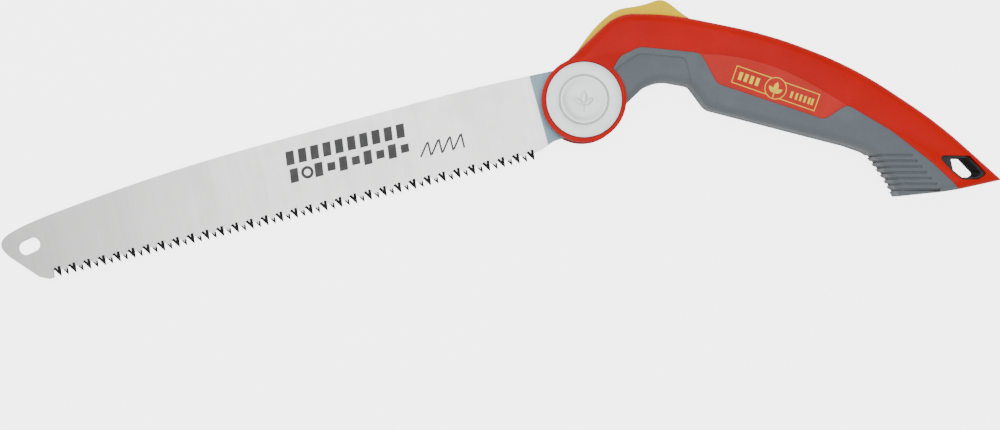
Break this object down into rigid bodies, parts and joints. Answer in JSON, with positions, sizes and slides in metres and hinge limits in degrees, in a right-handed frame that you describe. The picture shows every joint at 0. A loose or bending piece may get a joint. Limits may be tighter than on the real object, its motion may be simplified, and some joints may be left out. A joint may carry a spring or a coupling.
{
  "type": "folding pruning saw",
  "caption": "Pruning saw with a long pull-cut blade on a big pivot, a bent two-colour grip, and a thumb lever that locks the blade open or folded under the handle.",
  "frame": {"origin": "on the pivot axis, at the outer face of the back pivot disc, which the saw lies on", "axes": "+X towards the tail of the handle, +Y towards the lock lever, +Z along the pivot from the back disc to the front disc"},
  "size_m": [0.5453, 0.1523, 0.026],
  "materials": {
    "red_shell": "semi-gloss moulded shell, fine moulding texture",
    "frame_nylon": "matte glass-filled nylon",
    "grip_rubber": "matte thermoplastic rubber",
    "disc_steel": "satin blasted, stamped",
    "zinc_steel": "zinc plated",
    "washer_nylon": "natural nylon",
    "spring_steel": "drawn spring wire",
    "screw_steel": "black zinc",
    "insert_brass": "knurled brass",
    "blade_steel": "ground across, blue-grey unground tang",
    "lever_yellow": "satin moulded plastic"
  },
  "bodies": {
    "handle": {"cover_front": "red_shell", "cover_back": "red_shell", "core_front": "frame_nylon", "core_back": "frame_nylon", "grip_front": "grip_rubber", "grip_back": "grip_rubber", "pivot_disc_front": "disc_steel", "pivot_disc_back": "disc_steel", "pivot_bolt": "zinc_steel", "pivot_nut": "zinc_steel", "spring_washer": "zinc_steel", "pivot_sleeve": "zinc_steel", "stop_pin": "zinc_steel", "lever_pin": "zinc_steel", "thrust_washer_front": "washer_nylon", "thrust_washer_back": "washer_nylon", "lever_spring": "spring_steel", "handle_screws": "screw_steel", "screw_inserts": "insert_brass"},
    "blade": {"saw_blade": "blade_steel"},
    "lock_lever": {"lock_lever": "lever_yellow", "lock_pawl": "zinc_steel", "pawl_rivets": "zinc_steel"}
  },
  "joints": [
    {"name": "blade_fold", "type": "hinge", "parent": "handle", "child": "blade", "pos_m": [0, 0, 0.013], "axis": [0, 0, 1], "range_deg": [0, 135]},
    {"name": "lock_release", "type": "hinge", "parent": "handle", "child": "lock_lever", "pos_m": [0.024, 0.033, 0.013], "axis": [0, 0, 1], "range_deg": [-5, 4.2], "stiffness_Nm_per_rad": 0.3, "deforming": ["lever_spring"]}
  ]
}
